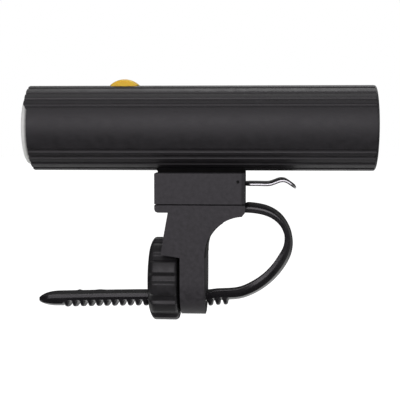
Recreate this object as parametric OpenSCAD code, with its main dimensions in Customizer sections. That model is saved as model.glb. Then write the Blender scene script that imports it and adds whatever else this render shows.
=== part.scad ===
// Handlebar bike headlight: a grooved tube lamp on a slide-off socket,
// held by a saddle bracket with a toothed strap and a ring-nut knob.
// Millimetres. X runs along the lamp, with the beam toward -X, and Z is up.
// The origin is the centre of the handlebar seat.

/* [Lamp tube] */
// Outer diameter of the lamp tube
tube_d = 26; // [23:0.1:30]
// Length of the tube from its front rim to its end cap
tube_len = 103.7; // [92:0.1:130]
// Wall of the tube
tube_wall = 1.4; // [1.1:0.05:1.5]
// Length of the front lip that holds the lens in
lip_t = 0.95; // [0.6:0.05:1.4]
// How far the front lip stands in from the bore
lip_in = 0.4; // [0.2:0.05:0.8]
// How far the hood stands out past the front rim
hood_len = 1.2; // [0.6:0.1:6]
// Height of the hood's lower corner above the tube's axis
hood_rise = 5.4; // [3:0.1:8]
// Depth of the long cooling grooves
groove_depth = 0.4; // [0.2:0.05:0.6]
// Width of the long cooling grooves
groove_w = 1.5; // [1:0.1:1.8]
// Distance that the front rim stands ahead of the socket
lamp_overhang = 38.2; // [30:0.2:60]
// Air gap between the tube and the socket
lamp_gap = 0.4; // [0.3:0.05:1.5]

/* [Optics] */
// How far the lens face stands ahead of the front rim
lens_proud = 2; // [0.8:0.1:3]
// Thickness of the lens flange behind the lip
lens_flange = 1.4; // [0.8:0.1:2.5]
// Thickness of the sealing ring behind the lens
gasket_t = 0.9; // [0.5:0.1:1.5]
// Length of the reflector cup
reflector_len = 10.8; // [8:0.1:12]
// Thickness of the light source board
led_board_t = 1.5; // [1:0.1:2]
// Width of the square light source
emitter_w = 3.4; // [2:0.1:3.6]
// Thickness of the heat sink plate
sink_t = 2.8; // [1.5:0.1:4]

/* [Button] */
// Length of the button along the tube
button_d = 9; // [7:0.1:10]
// Width of the button across the tube
button_w = 4.6; // [3:0.1:6]
// Distance of the button from the front rim
button_from_rim = 27.95; // [27:0.1:29]
// Height of the button's crown above the tube
button_rise = 1.95; // [1:0.05:3]
// Height of the button's rounded crown
button_crown = 1.8; // [0.6:0.1:2.2]
// Width of the flange that keeps the button in
button_flange = 1.1; // [0.6:0.1:1.5]
// Thickness of that flange
button_flange_t = 0.8; // [0.6:0.1:1.2]
// Travel of the button
button_travel = 0.8; // [0.4:0.1:1]
// Clearance round the button
button_clear = 0.1; // [0.05:0.01:0.3]

/* [Cell and boards] */
// How much narrower the battery cell is than the tube's bore
cell_spare = 4.8; // [4.6:0.1:7]
// Length of the tube behind the battery cell
rear_room = 7.5; // [7.3:0.1:12]
// Wall of the cradle under the cell
cradle_wall = 0.7; // [0.5:0.05:1]
// Thickness of the cradle's end walls
cradle_end = 1; // [0.6:0.1:1.4]
// Thickness of the boards
board_t = 1; // [0.8:0.1:1.6]
// Width of the control board
board_w = 15; // [10:0.5:16]
// Width of the square push switch
switch_w = 5; // [4:0.1:5.2]
// Height of the push switch
switch_h = 2.4; // [1.6:0.1:3]
// Diameter of the lead wires
wire_d = 1; // [0.6:0.1:1.2]

/* [End cap] */
// Thickness of the cap's outer flange
cap_flange = 0.6; // [0.4:0.1:1.2]
// Length of the cap inside the tube
cap_depth = 4.3; // [4:0.1:5]
// Thickness of the round seal
seal_t = 1.2; // [0.9:0.1:1.4]
// Width of the charging port
port_w = 7.8; // [6:0.1:9]
// Height of the charging port
port_h = 2.8; // [2:0.1:3.2]
// Width of the port cover
cover_w = 12; // [10.5:0.1:13]
// Height of the port cover above its hinge
cover_h = 8.2; // [7.8:0.1:9]
// Thickness of the port cover
cover_t = 1.05; // [0.8:0.05:1.2]
// Radius of the cover's hinge trunnions
trunnion_r = 0.45; // [0.35:0.05:0.5]

/* [Socket] */
// Length of the socket along the lamp
block_len = 26.9; // [25:0.1:34]
// Height of the socket above its base plate
block_h = 9.5; // [9.2:0.1:12]
// Width of the socket and the bracket
bracket_w = 24.6; // [23:0.2:30]
// How far the socket reaches behind the seat's centre
block_rear = 0.1; // [0:0.1:2]
// Width of the rail's neck
rail_neck_w = 9; // [7:0.2:10]
// Width of the rail's head
rail_head_w = 14.8; // [13.4:0.2:17]
// Thickness of the rail's head
rail_head_t = 1.45; // [1.45:0.05:1.6]
// Thickness of the socket's lips over the rail
socket_lip = 1.3; // [1.2:0.05:1.6]
// Sliding clearance of the rail
slide_clear = 0.1; // [0.05:0.01:0.2]
// Width of the flat release spring inside the socket
spring_w = 8; // [6:0.2:9]
// Width of the spring's thumb tab behind the socket
tab_w = 17.6; // [10:0.2:22]
// Thickness of the flat release spring
spring_t = 0.7; // [0.5:0.05:0.8]
// How far the spring reaches behind the socket
spring_reach = 15.2; // [14:0.1:22]
// Depth of the room below the spring
spring_room = 2.5; // [2.2:0.1:2.8]
// Diameter of the keeper pin
pin_d = 0.9; // [0.8:0.05:1]
// Bevel on the socket's rear corners
block_bevel = 1; // [0.4:0.1:1.6]
// Height of the shadow seam under the socket
seam_h = 0.35; // [0.2:0.05:0.6]
// Depth of that seam
seam_in = 0.4; // [0.2:0.05:0.6]

/* [Bracket] */
// Radius of the saddle on the handlebar
saddle_r = 11.95; // [11:0.05:14]
// Material between the saddle's top and the base plate
saddle_crown = 1.1; // [1:0.05:2]
// Thickness of the base plate
plate_t = 2.2; // [2:0.1:4]
// Thickness of the leg between the saddle and the knob
leg_t = 7.3; // [6.5:0.05:9]
// Depth of the leg below the knob's axis
leg_drop = 10.6; // [10.2:0.1:12]
// Radius of the leg's rounded lower corners
leg_round = 10.5; // [8:0.1:11]
// How far the leg's rear face stands out from the saddle's deepest line
leg_rear = 0.05; // [0.05:0.05:1.2]
// Height of the knob hood's front corner above the knob's axis
shroud_rise = 8.8; // [8:0.1:10]
// Thickness of the rubber pad
pad_t = 1.25; // [1:0.05:1.6]
// How far the pad stands out of the saddle
pad_proud = 0.3; // [0.1:0.05:0.5]
// Width of the rubber pad
pad_w = 19; // [16:0.5:20]
// Angle that the pad reaches above the seat's centre
pad_upper = 57; // [40:1:60]
// Angle that the pad reaches below the seat's centre
pad_lower = 4; // [1:1:10]
// Diameter of the screw shanks
screw_d = 2; // [1.6:0.1:2]

/* [Knob and strap] */
// Depth of the knob's axis below the seat's centre
knob_drop = 8.4; // [8:0.1:9]
// Outer diameter of the knob
knob_d = 25.8; // [25:0.1:28]
// Length of the knob's grip
knob_len = 8.3; // [8:0.1:10]
// Height of the knob's domed front
knob_dome = 0.9; // [0.4:0.1:1.5]
// Gap between the knob and the leg
knob_gap = 0.85; // [0.4:0.05:1.2]
// Number of finger grooves on the knob
knob_flutes = 12; // [8:1:16]
// Depth of the knob's finger grooves
flute_depth = 0.8; // [0.4:0.1:1]
// Width of the strap
strap_w = 8; // [7:0.1:10.4]
// Height of the knob's axis above the strap's flat side
strap_flat = 4.35; // [4.2:0.05:4.6]
// Radius of the strap's round side, about the knob's axis
strap_root_r = 7; // [6.8:0.05:7.1]
// Height of the strap's teeth
tooth_h = 1.65; // [1.2:0.05:1.75]
// Pitch of the teeth and of the knob's thread
tooth_pitch = 2.42; // [2.2:0.02:2.8]
// Number of teeth
tooth_count = 20; // [14:1:21]
// Length of the strap's smooth tip
tip_len = 8.8; // [6:0.1:12]
// Running clearance between the thread and the teeth
thread_clear = 0.25; // [0.2:0.01:0.3]

/* [Hidden] */
$fn = 64;
eps = 0.02;
fit = 0.05;
over = 1;

// Lamp levels
tube_r = tube_d / 2;
bore_r = tube_r - tube_wall;
lip_r = bore_r - lip_in;
half_w = bracket_w / 2;
plate_z0 = saddle_r + saddle_crown;
plate_z1 = plate_z0 + plate_t;
block_z1 = plate_z1 + block_h;
tube_z = block_z1 + lamp_gap + tube_r;
block_x1 = block_rear;
block_x0 = block_x1 - block_len;
tube_x0 = block_x0 - lamp_overhang;
tube_x1 = tube_x0 + tube_len;

// Optical stack from the lip backward
lens_x0 = tube_x0 + lip_t + fit;
lens_x1 = lens_x0 + lens_flange;
gasket_x0 = lens_x1 + eps;
gasket_x1 = gasket_x0 + gasket_t;
cup_x0 = gasket_x1 + eps;
cup_x1 = cup_x0 + reflector_len;
led_x0 = cup_x1 + eps;
led_x1 = led_x0 + led_board_t;
sink_x0 = led_x1 + eps;
sink_x1 = sink_x0 + sink_t;

// Button, switch and board stack from the bore downward
button_r = button_d / 2;
button_x = tube_x0 + button_from_rim;
flange_r = button_r + button_flange;
flange_z1 = sqrt(bore_r * bore_r - flange_r * flange_r) - 2 * button_clear;
flange_z0 = flange_z1 - button_flange_t;
switch_spare = 0.2;
switch_z1 = flange_z0 - button_travel - switch_spare;
plunger_h = 0.5;
board_z1 = switch_z1 - plunger_h - switch_h;
board_z0 = board_z1 - board_t;
shelf_z = board_z0 - eps;

// Cell, cradle and rear boards
cell_r = bore_r - cell_spare / 2;
cell_clear = 0.15;
cradle_r = bore_r - 0.1;
cell_drop = cradle_r - cradle_wall - cell_clear - cell_r;
cell_z = tube_z - cell_drop;
tab_t = 0.3;
cell_x0 = button_x + switch_w / 2 + 0.55;
cell_x1 = tube_x1 - rear_room;
cradle_x0 = sink_x1 + eps;
well_x0 = cell_x0 - tab_t - 2 * fit;
well_x1 = cell_x1 + tab_t + 2 * fit;
cradle_x1 = well_x1 + cradle_end;
charge_x0 = cradle_x1 + eps;
charge_x1 = charge_x0 + board_t;

// End cap and port cover
cap_x1 = tube_x1 + cap_flange;
cap_x0 = tube_x1 - cap_depth;
port_z = tube_z + 0.5;
port_room = 0.45;
cover_x1 = cap_x1 - 0.1;
cover_x0 = cover_x1 - cover_t;
hinge_r = 0.75;
hinge_x = cover_x1 - hinge_r + 0.05;
hinge_z = port_z - 5.1;
cover_clear = 0.2;
recess_x = min(cover_x0, hinge_x - hinge_r) - cover_clear;
port_x1 = recess_x - 0.35;
groove_r = bore_r - seal_t - 0.1;
seal_x = cap_x0 + 0.6 + seal_t / 2;

// Rail and socket levels
head_z1 = block_z1 - socket_lip - slide_clear;
head_z0 = head_z1 - rail_head_t;
slot_z0 = head_z0 - slide_clear;
pin_r = pin_d / 2;
pin_x = block_x1 - 2.05;
pin_z = head_z1 - 1.05;
rail_x0 = block_x0 + 0.8;
rail_x1 = pin_x - pin_r - slide_clear;
slot_x1 = block_x1 - 1;
spring_z1 = head_z0 - 0.3;
spring_z0 = spring_z1 - spring_t;
spring_x0 = block_x0 + 2.2;
spring_x1 = block_x1 + spring_reach;
tang_z = spring_z0 - 3;
lug_x1 = pin_x - 3.1;
lug_x0 = lug_x1 - 3.2;
lug_h = 1.3;
lug_half = spring_w * 0.325;

// Bracket levels
knob_z = -knob_drop;
knob_r = knob_d / 2;
leg_x0 = -(saddle_r + leg_t);
leg_x1 = -(saddle_r - leg_rear);
leg_z0 = knob_z - leg_drop;
shroud_z = knob_z + shroud_rise;
pocket_r = knob_r + 0.3;
screw_r = screw_d / 2;
screw_head = 0.65;
screw_clear = 0.03;
screw_x0 = block_x0 + 0.08 * block_len;
screw_x1 = block_x1 - 0.097 * block_len;
screw_y0 = 0.707 * half_w;
screw_y1 = 0.74 * half_w;
knob_x1 = leg_x0 - knob_gap;
knob_x0 = knob_x1 - knob_len;

// Strap and thread
flat_z = knob_z - strap_flat;
crest_r = strap_root_r + tooth_h;
strap_half = strap_w / 2;
strap_t = strap_root_r - strap_flat;
side_clear = 0.2;
guide_clear = 0.15;
thread_r = crest_r + thread_clear;
ridge_r = strap_root_r + thread_clear;
spigot_r = thread_r + 0.9;
spigot_len = 2.2;
spigot_clear = 0.08;
tooth_slant = atan(tooth_pitch / (2 * PI * (strap_root_r + tooth_h / 2)));
tooth_root = 0.58 * tooth_pitch;
tooth_tip = 0.34 * tooth_pitch;

// Route of the strap's loop: three tangent sweeps from the flat run up to the anchor
anchor_z = plate_z1 - strap_t - guide_clear;
loop_h = anchor_z - flat_z;
sweep_1 = 63.6;
sweep_2 = 104.4;
sweep_3 = 180 - sweep_1 - sweep_2;
loop_r1 = 0.852 * loop_h;
loop_r2 = 0.356 * loop_h;
rise_1 = loop_r1 * (1 - cos(sweep_1));
rise_2 = loop_r2 * (cos(sweep_1) - cos(sweep_1 + sweep_2));
loop_r3 = (loop_h - rise_1 - rise_2) / (1 + cos(sweep_1 + sweep_2));
run_1 = loop_r1 * sin(sweep_1);
run_2 = loop_r2 * (sin(sweep_1 + sweep_2) - sin(sweep_1));
run_3 = -loop_r3 * sin(sweep_1 + sweep_2);
anchor_x = block_x1;
loop_x0 = anchor_x - run_1 - run_2 - run_3;
bead_x = anchor_x - 4.4;
bead_half = strap_half + 1.8;
bead_r = strap_t / 2 + 0.1;
bead_z = plate_z1 - bead_r - 0.1;
slot_clear = 0.1;
tooth_last = loop_x0 - 0.9;
tooth_first = tooth_last - (tooth_count - 1) * tooth_pitch;
tip_x = tooth_first - tooth_root / 2 - tip_len;

// A round bar along X
module xbar(x0, x1, r, z) {
    translate([x0, 0, z])
        rotate([0, 90, 0])
            cylinder(h = x1 - x0, r = r);
}

// A round bar along Y
module ybar(y0, y1, r, x, z) {
    translate([x, y1, z])
        rotate([90, 0, 0])
            cylinder(h = y1 - y0, r = r);
}

// A box between two corners
module block(x0, x1, y0, y1, z0, z1) {
    translate([x0, y0, z0])
        cube([x1 - x0, y1 - y0, z1 - z0]);
}

// An outline in X and Z, carried across Y
module profile(points, y0, y1) {
    translate([0, y1, 0])
        rotate([90, 0, 0])
            linear_extrude(height = y1 - y0)
                polygon(points);
}

// A profile of radius and X, turned about the line at height z
module turned(points, z) {
    translate([0, 0, z])
        rotate([0, 90, 0])
            rotate_extrude()
                polygon(points);
}

// One long groove cut on the tube at an angle above the side
module tube_groove(angle) {
    cut_r = (groove_w * groove_w / 4 + groove_depth * groove_depth) / (2 * groove_depth);
    place = tube_r + cut_r - groove_depth;
    translate([0, place * cos(angle), place * sin(angle)])
        xbar(tube_x0 - hood_len - over, tube_x1 + over, cut_r, tube_z);
}

// Screws that stand along Z, with their heads below
module upright_screw(x, y, z0, z1, head_h, clear) {
    translate([x, y, z0 - clear])
        cylinder(h = head_h + 2 * clear, r = screw_r + screw_head + clear);
    translate([x, y, z0 + head_h])
        cylinder(h = z1 - z0 - head_h + clear, r = screw_r + clear);
}

// Rail screws: up through the rail's head into the tube's wall
module rail_screw_set(clear) {
    for (x = [rail_x0 + 0.21 * (rail_x1 - rail_x0), rail_x0 + 0.55 * (rail_x1 - rail_x0)])
        upright_screw(x, 0, head_z0 + 0.15, tube_z - bore_r - 0.15, 0.9, clear);
}

// Bracket screws: up through the base plate into the socket
module bracket_screw_set(clear) {
    for (y = [-1, 1]) {
        upright_screw(screw_x0, y * screw_y0, plate_z0 + 0.15, plate_z1 + 3, 1, clear);
        upright_screw(screw_x1, y * screw_y1, plate_z0 - 0.6, plate_z1 + 3, 1, clear);
    }
}

module body_tube() {
    top = [31, 41.5, 54, 69, 90, 111, 126, 138.5, 149];
    low = [-31, -41.5, -54, -69, -111, -126, -138.5, -149];
    hood_x = tube_x0 - hood_len;
    color([0.17, 0.17, 0.18])
        difference() {
            union() {
                xbar(tube_x0, tube_x1, tube_r, tube_z);
                intersection() {
                    xbar(hood_x, tube_x0 + lip_t / 2, tube_r, tube_z);
                    profile([
                        [hood_x - over, tube_z + hood_rise + hood_len * 1.25],
                        [hood_x, tube_z + hood_rise + hood_len * 1.25],
                        [tube_x0, tube_z + hood_rise],
                        [tube_x0 + over, tube_z + hood_rise],
                        [tube_x0 + over, tube_z + tube_r + over],
                        [hood_x - over, tube_z + tube_r + over]
                    ], -tube_r - over, tube_r + over);
                }
            }
            xbar(hood_x - over, tube_x1, lip_r, tube_z);
            xbar(tube_x0 + lip_t, tube_x1 + over, bore_r, tube_z);
            for (angle = concat(top, low))
                tube_groove(angle);
            intersection() {
                translate([button_x, 0, tube_z])
                    cylinder(h = tube_r + over, r = button_r + button_clear);
                block(button_x - button_d, button_x + button_d, -button_w / 2 - button_clear,
                    button_w / 2 + button_clear, tube_z, tube_z + tube_r + over);
            }
            rail_screw_set(screw_clear);
        }
}

module lens() {
    front = tube_x0 - lens_proud;
    boss_r = lip_r - 0.1;
    color([0.85, 0.88, 0.87])
        turned([
            [0, front - 0.3],
            [boss_r * 0.5, front - 0.22],
            [boss_r - 0.5, front],
            [boss_r, front + 0.4],
            [boss_r, lens_x0],
            [bore_r - 0.1, lens_x0],
            [bore_r - 0.1, lens_x1],
            [0, lens_x1]
        ], tube_z);
}

module lens_gasket() {
    color([0.08, 0.08, 0.08])
        difference() {
            xbar(gasket_x0, gasket_x1, bore_r - 0.15, tube_z);
            xbar(gasket_x0 - over, gasket_x1 + over, bore_r - 1.3, tube_z);
        }
}

module reflector() {
    rim = bore_r - 0.15;
    throat = emitter_w / sqrt(2) + 0.3;
    mouth = rim - 1.1;
    flare = mouth - throat;
    color([0.86, 0.87, 0.88])
        turned([
            [rim, cup_x0],
            [rim, cup_x0 + 1.2],
            [rim - 1.6, cup_x0 + 1.6],
            [throat + flare * 0.34, cup_x1],
            [throat, cup_x1],
            [throat + flare * 0.12, cup_x1 - reflector_len * 0.1],
            [throat + flare * 0.42, cup_x1 - reflector_len * 0.33],
            [throat + flare * 0.73, cup_x1 - reflector_len * 0.65],
            [mouth, cup_x0]
        ], tube_z);
}

module led_board() {
    color([0.9, 0.9, 0.86])
        xbar(led_x0, led_x1, bore_r - 0.15, tube_z);
}

module led_emitter() {
    half = emitter_w / 2;
    color([0.95, 0.85, 0.35])
        union() {
            block(led_x0 - eps - 0.6, led_x0 - eps, -half, half, tube_z - half, tube_z + half);
            turned([
                [0, led_x0 - eps - 1.5],
                [half * 0.5, led_x0 - eps - 1.35],
                [half * 0.85, led_x0 - eps - 0.9],
                [half * 0.9, led_x0 - eps - 0.3],
                [0, led_x0 - eps - 0.3]
            ], tube_z);
        }
}

module heat_sink() {
    color([0.7, 0.7, 0.72])
        difference() {
            xbar(sink_x0, sink_x1, bore_r - 0.1, tube_z);
            for (y = [-1, 1])
                translate([0, y * bore_r * 0.6, bore_r * 0.35])
                    xbar(sink_x0 - over, sink_x1 + over, wire_d, tube_z);
        }
}

module inner_frame() {
    color([0.12, 0.12, 0.13])
        difference() {
            xbar(cradle_x0, cradle_x1, cradle_r, tube_z);
            xbar(well_x0, well_x1, cell_r + cell_clear, cell_z);
            block(cradle_x0 - over, well_x0 + over, -tube_r, tube_r, tube_z + shelf_z, tube_z + tube_r);
            block(well_x0, cradle_x1 + over, -tube_r, tube_r, tube_z + 3, tube_z + tube_r);
            block(cradle_x0 - over, well_x0 - cradle_end, -cell_r * 0.7, cell_r * 0.7,
                tube_z - cell_r * 0.7, tube_z + shelf_z - 1.2);
        }
}

module control_board() {
    color([0.1, 0.35, 0.2])
        block(cradle_x0 + 0.5, well_x0 - 0.2, -board_w / 2, board_w / 2,
            tube_z + board_z0, tube_z + board_z1);
}

module push_switch() {
    base = tube_z + board_z1 + eps;
    color([0.75, 0.75, 0.75])
        union() {
            block(button_x - switch_w / 2, button_x + switch_w / 2, -switch_w / 2, switch_w / 2,
                base, tube_z + switch_z1 - plunger_h);
            translate([button_x, 0, base])
                cylinder(h = tube_z + switch_z1 - base, r = switch_w * 0.3);
        }
}

module power_button() {
    crown_z = tube_r + button_rise;
    ball_r = (button_r * button_r + button_crown * button_crown) / (2 * button_crown);
    steps = 10;
    arc = asin(button_r / ball_r);
    color([0.92, 0.68, 0.2])
        translate([button_x, 0, tube_z])
            union() {
                translate([0, 0, flange_z0])
                    cylinder(h = button_flange_t, r = flange_r);
                intersection() {
                    rotate_extrude()
                        polygon(concat(
                            [[0, flange_z0], [button_r, flange_z0]],
                            [for (i = [0 : steps])
                                let (a = arc * (1 - i / steps))
                                    [i == steps ? 0 : ball_r * sin(a), crown_z - ball_r + ball_r * cos(a)]]
                        ));
                    block(-button_d, button_d, -button_w / 2, button_w / 2,
                        flange_z0 + button_flange_t / 2, crown_z + over);
                }
            }
}

module battery_cell() {
    color([0.25, 0.45, 0.6])
        xbar(cell_x0, cell_x1, cell_r, cell_z);
}

module battery_tabs() {
    color([0.8, 0.8, 0.78])
        for (x = [cell_x0 - fit - tab_t, cell_x1 + fit])
            block(x, x + tab_t, -cell_r / 3, cell_r / 3, cell_z - cell_r * 0.43, cell_z + cell_r * 0.43);
}

module lead_wires() {
    wire_r = wire_d / 2;
    y = cell_r * 0.43;
    z = cell_z + sqrt(cell_r * cell_r - y * y) + wire_r + 0.3;
    x0 = well_x0 - 2;
    color([0.6, 0.12, 0.1])
        for (side = [-1, 1])
            translate([0, side * y, 0])
                union() {
                    xbar(x0, charge_x0 - eps, wire_r, z);
                    translate([x0, 0, z])
                        sphere(r = wire_r);
                    translate([x0, 0, tube_z + board_z1 + eps])
                        cylinder(h = z - tube_z - board_z1 - eps, r = wire_r);
                }
}

module charge_board() {
    color([0.1, 0.35, 0.2])
        block(charge_x0, charge_x1, -port_w / 2 - 2.1, port_w / 2 + 2.1,
            tube_z - bore_r * 0.52, tube_z + bore_r * 0.77);
}

module charge_port() {
    color([0.78, 0.78, 0.8])
        difference() {
            block(charge_x1 + eps, port_x1, -port_w / 2, port_w / 2, port_z - port_h / 2, port_z + port_h / 2);
            block(charge_x1 + 1.2, port_x1 + over, -port_w / 2 + 0.35, port_w / 2 - 0.35,
                port_z - port_h / 2 + 0.35, port_z + port_h / 2 - 0.35);
        }
}

module end_cap() {
    room_w = cover_w / 2 + cover_clear;
    hole_w = port_w / 2 + port_room;
    hole_h = port_h / 2 + port_room;
    ear = trunnion_r + 0.06;
    color([0.14, 0.14, 0.15])
        difference() {
            turned([
                [0, cap_x0],
                [bore_r - 0.1, cap_x0],
                [bore_r - 0.1, tube_x1 + eps],
                [tube_r - 0.05, tube_x1 + eps],
                [tube_r - 0.05, cap_x1 - 0.25],
                [tube_r - 0.3, cap_x1],
                [0, cap_x1]
            ], tube_z);
            difference() {
                xbar(seal_x - seal_t / 2 - fit, seal_x + seal_t / 2 + fit, tube_r, tube_z);
                xbar(seal_x - seal_t, seal_x + seal_t, groove_r, tube_z);
            }
            block(cap_x0 - over, cap_x1 + over, -hole_w, hole_w, port_z - hole_h, port_z + hole_h);
            block(recess_x, cap_x1 + over, -room_w, room_w,
                hinge_z - hinge_r - cover_clear, hinge_z + cover_h + cover_clear);
            ybar(-room_w - 1.1, room_w + 1.1, ear, hinge_x, hinge_z);
        }
}

module end_cap_seal() {
    color([0.1, 0.1, 0.1])
        translate([seal_x, 0, tube_z])
            rotate([0, 90, 0])
                rotate_extrude()
                    translate([bore_r - fit - seal_t / 2, 0])
                        circle(r = seal_t / 2);
}

module port_cover() {
    half = cover_w / 2;
    plug_w = port_w / 2 + port_room - 0.2;
    plug_h = port_h / 2 + port_room - 0.35;
    color([0.1, 0.1, 0.1])
        union() {
            block(cover_x0, cover_x1, -half, half, hinge_z, hinge_z + cover_h);
            ybar(-half, half, hinge_r, hinge_x, hinge_z);
            ybar(-half - 1, half + 1, trunnion_r, hinge_x, hinge_z);
            block(port_x1 + 0.15, cover_x0 + eps, -plug_w, plug_w, port_z - plug_h, port_z + plug_h);
        }
}

module mount_rail() {
    neck = rail_neck_w / 2;
    head = rail_head_w / 2;
    color([0.13, 0.13, 0.14])
        difference() {
            union() {
                block(rail_x0, rail_x1, -head, head, head_z0, head_z1);
                block(rail_x0, rail_x1, -neck, neck, head_z1 - eps, tube_z);
                block(rail_x0, block_x1 - slide_clear, -neck, neck, block_z1 + slide_clear, tube_z);
            }
            xbar(rail_x0 - over, block_x1 + over, tube_r + eps, tube_z);
            block(lug_x0 - 0.3, lug_x1 + 0.3, -lug_half - 0.4, lug_half + 0.4, head_z0 - over, head_z1);
            rail_screw_set(screw_clear);
        }
}

module rail_screws() {
    color([0.7, 0.7, 0.72])
        rail_screw_set(0);
}

// Plan of the socket, drawn in by an inset
module socket_plan(inset) {
    bevel = block_bevel - (2 - sqrt(2)) * inset;
    front = block_x0 + inset;
    rear = block_x1 - inset;
    side = half_w - inset;
    polygon([
        [front, -side],
        [rear - bevel, -side],
        [rear, -side + bevel],
        [rear, side - bevel],
        [rear - bevel, side],
        [front, side]
    ]);
}

module socket_block() {
    neck = rail_neck_w / 2 + slide_clear;
    head = rail_head_w / 2 + slide_clear;
    leaf = spring_w / 2 + side_clear;
    color([0.27, 0.27, 0.28])
        difference() {
            union() {
                translate([0, 0, plate_z1 + seam_h])
                    linear_extrude(height = block_h - seam_h)
                        socket_plan(0);
                translate([0, 0, plate_z1 + eps])
                    linear_extrude(height = seam_h)
                        socket_plan(seam_in);
            }
            block(block_x0 - over, slot_x1, -head, head, slot_z0, head_z1 + slide_clear);
            block(block_x0 - over, slot_x1, -neck, neck, slot_z0, block_z1 + over);
            block(spring_x0 + 4.2, block_x1 + over, -leaf, leaf, spring_z0 - spring_room, slot_z0 + eps);
            block(spring_x0 - 0.1, block_x1 - 1.2, -leaf, leaf, spring_z0 - eps, slot_z0 + eps);
            block(spring_x0 - 0.1, spring_x0 + spring_t + 0.1, -leaf, leaf, tang_z - 0.1, slot_z0);
            ybar(-half_w - over, half_w + over, pin_r + screw_clear, pin_x, pin_z);
            bracket_screw_set(screw_clear);
        }
}

module release_spring() {
    half = spring_w / 2;
    t = spring_t;
    bend_x = spring_x1 - 7.3;
    color([0.55, 0.55, 0.56])
        union() {
            profile([
                [spring_x0, tang_z],
                [spring_x0 + t, tang_z],
                [spring_x0 + t, spring_z0],
                [block_x1 + 1, spring_z0],
                [block_x1 + 1, spring_z1],
                [spring_x0, spring_z1]
            ], -half, half);
            profile([
                [block_x1 + 0.4, spring_z0],
                [bend_x, spring_z0],
                [bend_x + 1.4, spring_z0 + 0.55],
                [bend_x + 2.5, spring_z0 + 1],
                [bend_x + 3.5, spring_z0 + 1.15],
                [bend_x + 4.5, spring_z0 + 0.9],
                [bend_x + 5.5, spring_z0 + 0.2],
                [bend_x + 6.7, spring_z0 - 0.75],
                [bend_x + 7.3, spring_z0 - 0.3],
                [bend_x + 6.0, spring_z0 + 0.75],
                [bend_x + 4.8, spring_z0 + 0.9 + t * 0.85],
                [bend_x + 3.5, spring_z0 + 1.15 + t],
                [bend_x + 2.3, spring_z0 + 1 + t],
                [bend_x + 1.1, spring_z0 + 0.55 + t * 0.95],
                [bend_x - 0.3, spring_z1],
                [block_x1 + 0.4, spring_z1]
            ], -tab_w / 2, tab_w / 2);
            profile([
                [lug_x0, spring_z1 - eps],
                [lug_x1, spring_z1 - eps],
                [lug_x1, spring_z1 + lug_h],
                [lug_x1 - 0.5, spring_z1 + lug_h]
            ], -lug_half, lug_half);
        }
}

module keeper_pin() {
    color([0.2, 0.2, 0.21])
        ybar(-half_w + 0.1, half_w - 0.1, pin_r, pin_x, pin_z);
}

// The part of the saddle that the rubber pad lines, as a wedge from the seat's centre
module pad_sector(spread) {
    upper = pad_upper + spread;
    lower = pad_lower + spread;
    reach = 2 * saddle_r;
    profile([
        [0, 0],
        [-reach * cos(upper), reach * sin(upper)],
        [-2 * reach, reach * sin(upper)],
        [-2 * reach, -2 * reach * tan(lower)]
    ], -half_w, half_w);
}

module bracket_body() {
    pad_room = pad_t - pad_proud + fit;
    guide = strap_half + side_clear;
    color([0.27, 0.27, 0.28])
        difference() {
            union() {
                difference() {
                    profile([
                        [block_x0, plate_z1],
                        [block_x0, plate_z0 + 1],
                        [block_x0 + 0.3, plate_z0 + 0.3],
                        [block_x0 + 1, plate_z0],
                        [block_x0 + 4, plate_z0],
                        [block_x0 + 2.85, (plate_z0 + shroud_z) / 2],
                        [block_x0 + 1.9, shroud_z],
                        [leg_x0, shroud_z - 0.85],
                        [leg_x0, leg_z0],
                        [leg_x1, leg_z0],
                        [leg_x1, 0],
                        [block_x1 - 0.8, 0],
                        [block_x1 - 0.8, saddle_r + fit],
                        [block_x1, plate_z0 - fit],
                        [block_x1, plate_z1]
                    ], -half_w, half_w);
                    xbar(block_x0 - 5, leg_x0, pocket_r, knob_z);
                    for (y = [-1, 1])
                        difference() {
                            translate([leg_x0 - over, y > 0 ? half_w - leg_round : -half_w - over, leg_z0 - over])
                                cube([leg_x1 - leg_x0 + 2 * over, leg_round + over, leg_round + over]);
                            translate([0, y * (half_w - leg_round), 0])
                                xbar(leg_x0 - 2 * over, leg_x1 + 2 * over, leg_round, leg_z0 + leg_round);
                        }
                }
                xbar(leg_x0 - spigot_len, leg_x1, spigot_r, knob_z);
                difference() {
                    xbar(knob_x0 + 1.2, leg_x1, ridge_r - 0.3, knob_z);
                    block(knob_x0, leg_x0 - spigot_len - eps, -knob_r, knob_r,
                        knob_z - knob_r, flat_z + guide_clear);
                }
            }
            ybar(-half_w - over, half_w + over, saddle_r, 0, 0);
            intersection() {
                ybar(-pad_w / 2 - fit, pad_w / 2 + fit, saddle_r + pad_room, 0, 0);
                pad_sector(0.4);
            }
            intersection() {
                xbar(leg_x0 - spigot_len - over, leg_x1 + over, crest_r + side_clear, knob_z);
                block(leg_x0 - 10, leg_x1 + 10, -guide, guide, knob_z - 20, flat_z + guide_clear);
            }
            block(bead_x, block_x1 + over, -guide, guide, anchor_z - slot_clear, plate_z1 + over);
            block(bead_x - bead_r - 0.15, bead_x + bead_r + 0.15, -bead_half - 0.15, bead_half + 0.15,
                bead_z - bead_r - 0.15, plate_z1 + over);
            bracket_screw_set(screw_clear);
            for (y = [-1, 1])
                translate([screw_x1, y * screw_y1, 0])
                    cylinder(h = plate_z0 - 0.5, r = screw_r + screw_head + screw_clear);
            for (y = [-1, 1])
                translate([screw_x0, y * screw_y0, plate_z0 - over])
                    cylinder(h = over + 0.2, r = screw_r + screw_head + screw_clear);
        }
}

module bracket_screws() {
    color([0.7, 0.7, 0.72])
        bracket_screw_set(0);
}

module saddle_pad() {
    color([0.09, 0.09, 0.09])
        intersection() {
            difference() {
                ybar(-pad_w / 2, pad_w / 2, saddle_r + pad_t - pad_proud, 0, 0);
                ybar(-pad_w, pad_w, saddle_r - pad_proud, 0, 0);
            }
            pad_sector(0);
        }
}

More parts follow.
